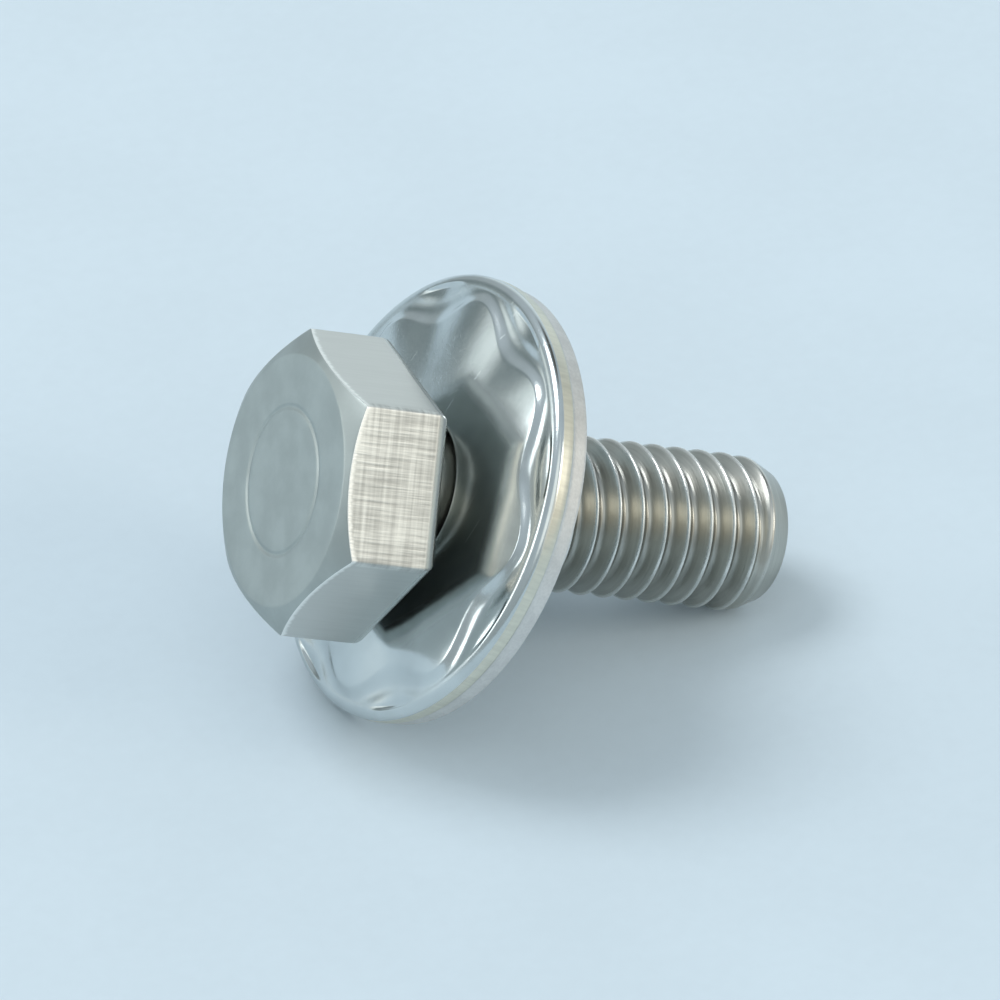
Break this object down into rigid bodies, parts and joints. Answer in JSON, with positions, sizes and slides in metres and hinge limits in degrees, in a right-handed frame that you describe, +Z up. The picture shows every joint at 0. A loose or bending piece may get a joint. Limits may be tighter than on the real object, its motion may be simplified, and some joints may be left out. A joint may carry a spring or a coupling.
{
  "type": "hex screw with captive star washer",
  "caption": "Stainless hex head screw, M6 by 16, with a loose captive washer embossed with a star, lying tip down on its washer's rim and thread end.",
  "frame": {"origin": "middle of the footprint, on the surface that the screw lies on", "axes": "+Z up, +X the level way that the thread's end points, +Y to the left of that way"},
  "size_m": [0.0216, 0.017, 0.0151],
  "materials": {
    "screw_steel": "satin stainless steel, cold forged and rolled",
    "washer_steel": "bright tumbled stainless sheet"
  },
  "bodies": {
    "screw": {"hex_screw": "screw_steel"},
    "washer": {"star_washer": "washer_steel"}
  },
  "joints": [
    {"name": "washer_spin", "type": "hinge", "parent": "screw", "child": "washer", "pos_m": [-0.00355, 0, 0.0078], "axis": [0.8513, 0, -0.5247], "continuous": true}
  ]
}
